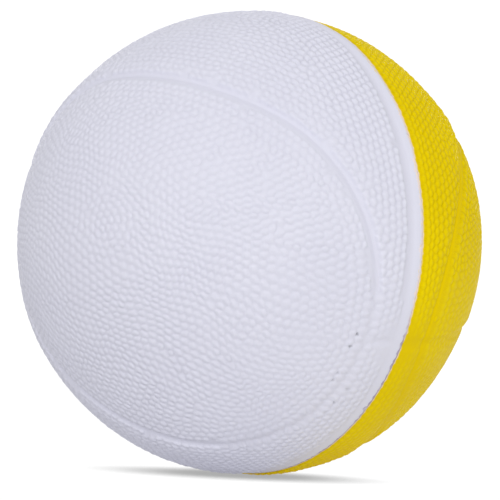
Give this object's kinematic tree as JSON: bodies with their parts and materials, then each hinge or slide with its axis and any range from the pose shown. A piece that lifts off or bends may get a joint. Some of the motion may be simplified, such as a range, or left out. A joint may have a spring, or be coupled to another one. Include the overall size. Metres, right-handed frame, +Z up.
{
  "type": "stress ball",
  "caption": "Soft foam squeeze ball with basketball-style seam channels and a pebbled skin, painted white on one half and yellow on the other.",
  "frame": {"origin": "centre of the ball", "axes": "+X to the pole of the yellow half, -X to the pole of the white half, +Z up as the ball stands, with the seam crossing towards -Y and 24.5 degrees below the horizontal"},
  "size_m": [0.1016, 0.1016, 0.1016],
  "materials": {
    "core_foam": "open-cell soft foam, matt",
    "dense_skin": "closed foam skin, matt",
    "white_paint": "elastic coat, cool white, satin, fine pebbles",
    "yellow_paint": "elastic coat, yellow, satin, fine pebbles"
  },
  "bodies": {
    "root": {"foam_core": "core_foam", "white_side_skin": "dense_skin", "yellow_side_skin": "dense_skin", "white_coat": "white_paint", "yellow_coat": "yellow_paint"}
  },
  "joints": []
}
